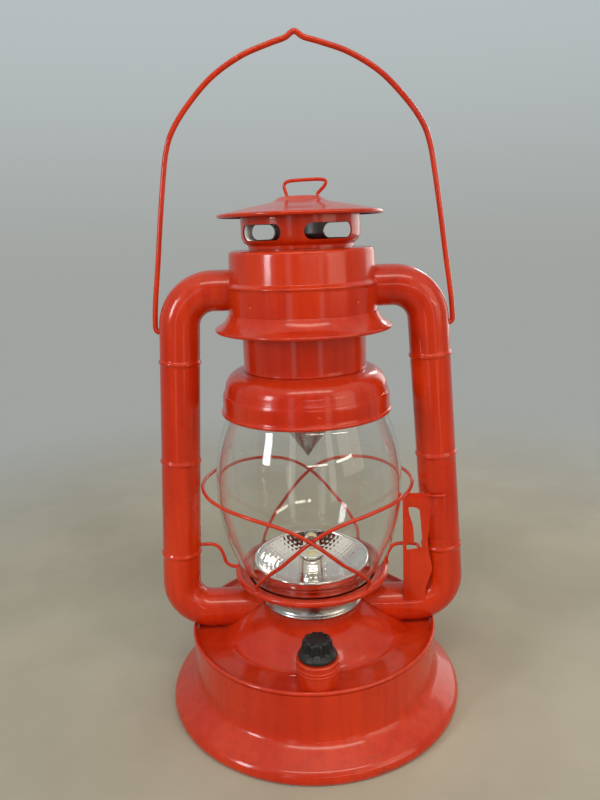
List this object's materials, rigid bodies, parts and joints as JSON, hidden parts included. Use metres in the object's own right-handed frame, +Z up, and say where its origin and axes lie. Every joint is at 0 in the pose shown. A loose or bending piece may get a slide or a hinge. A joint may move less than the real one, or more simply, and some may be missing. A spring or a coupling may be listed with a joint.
{
  "type": "camping lantern",
  "caption": "Battery camping lantern shaped like a hurricane lantern: round steel base, dimmer knob, guarded glass globe, side tubes, lifting crown and wire bail.",
  "frame": {"origin": "centre of the foot ring's underside", "axes": "+Z up, -Y towards the dimmer knob, +X towards the lever plate"},
  "size_m": [0.1734, 0.168, 0.3597],
  "materials": {
    "red_enamel": "glossy orange-red enamel on pressed steel",
    "black_plastic": "moulded, satin",
    "zinc_steel": "zinc plated",
    "bright_chrome": "bright plated",
    "worn_chrome": "dulled plating",
    "bare_tin": "bright tinned sheet",
    "clear_glass": "clear blown glass",
    "clear_lens": "clear moulded",
    "cell_wrap": "shrink sleeve over a steel can",
    "board_white": "solder mask",
    "phosphor": "yellow phosphor",
    "lead_insulation": "flexible insulation"
  },
  "bodies": {
    "frame": {"base_shell": "red_enamel", "base_foot": "red_enamel", "fount_dome": "red_enamel", "base_plate": "black_plastic", "base_screws": "zinc_steel", "battery_tray": "black_plastic", "battery_left": "cell_wrap", "battery_centre": "cell_wrap", "battery_right": "cell_wrap", "contact_springs": "zinc_steel", "contact_plates": "zinc_steel", "door_hinge_pins": "zinc_steel", "knob_boss": "red_enamel", "dimmer": "black_plastic", "dimmer_nut": "zinc_steel", "collar": "worn_chrome", "lamp_holder": "black_plastic", "reflector_dish": "bright_chrome", "led_post": "bright_chrome", "led_board": "board_white", "led_chip": "phosphor", "led_lens": "clear_lens", "lamp_leads": "lead_insulation", "tube_left": "red_enamel", "tube_right": "red_enamel", "lever_plate": "red_enamel", "air_chamber": "red_enamel", "chamber_skirt": "red_enamel", "chimney_guide": "zinc_steel", "chimney_spring": "zinc_steel"},
    "globe_carrier": {"globe_plate": "red_enamel", "globe": "clear_glass", "guard_wire_left": "red_enamel", "guard_wire_right": "red_enamel", "pivot_wire": "red_enamel", "lift_wire": "red_enamel"},
    "crown": {"bell": "red_enamel", "neck": "red_enamel", "chimney": "bare_tin", "vent_ring": "red_enamel", "cap": "red_enamel", "cap_ring": "red_enamel", "cone_reflector": "worn_chrome", "cone_ring": "bare_tin"},
    "bail": {"bail": "red_enamel"},
    "knob": {"knob": "black_plastic", "dimmer_shaft": "zinc_steel"},
    "battery_door": {"battery_door": "black_plastic", "door_screw": "zinc_steel"}
  },
  "joints": [
    {"name": "globe_lift", "type": "slide", "parent": "frame", "child": "globe_carrier", "axis": [0, 0, 1], "range_m": [0, 0.01]},
    {"name": "crown_lift", "type": "slide", "parent": "globe_carrier", "child": "crown", "axis": [0, 0, 1], "range_m": [0, 0.01], "stiffness_N_per_m": 150, "springref_m": -0.012, "deforming": ["chimney_spring"]},
    {"name": "bail_swing", "type": "hinge", "parent": "frame", "child": "bail", "pos_m": [0, 0, 0.215], "axis": [1, 0, 0], "range_deg": [-140, 140]},
    {"name": "knob_turn", "type": "hinge", "parent": "frame", "child": "knob", "pos_m": [0.0013, -0.0582, 0.06], "axis": [0, 0, -1], "range_deg": [0, 300]},
    {"name": "door_swing", "type": "hinge", "parent": "frame", "child": "battery_door", "pos_m": [0, 0.0382, 0.0027], "axis": [1, 0, 0], "range_deg": [0, 100]}
  ]
}
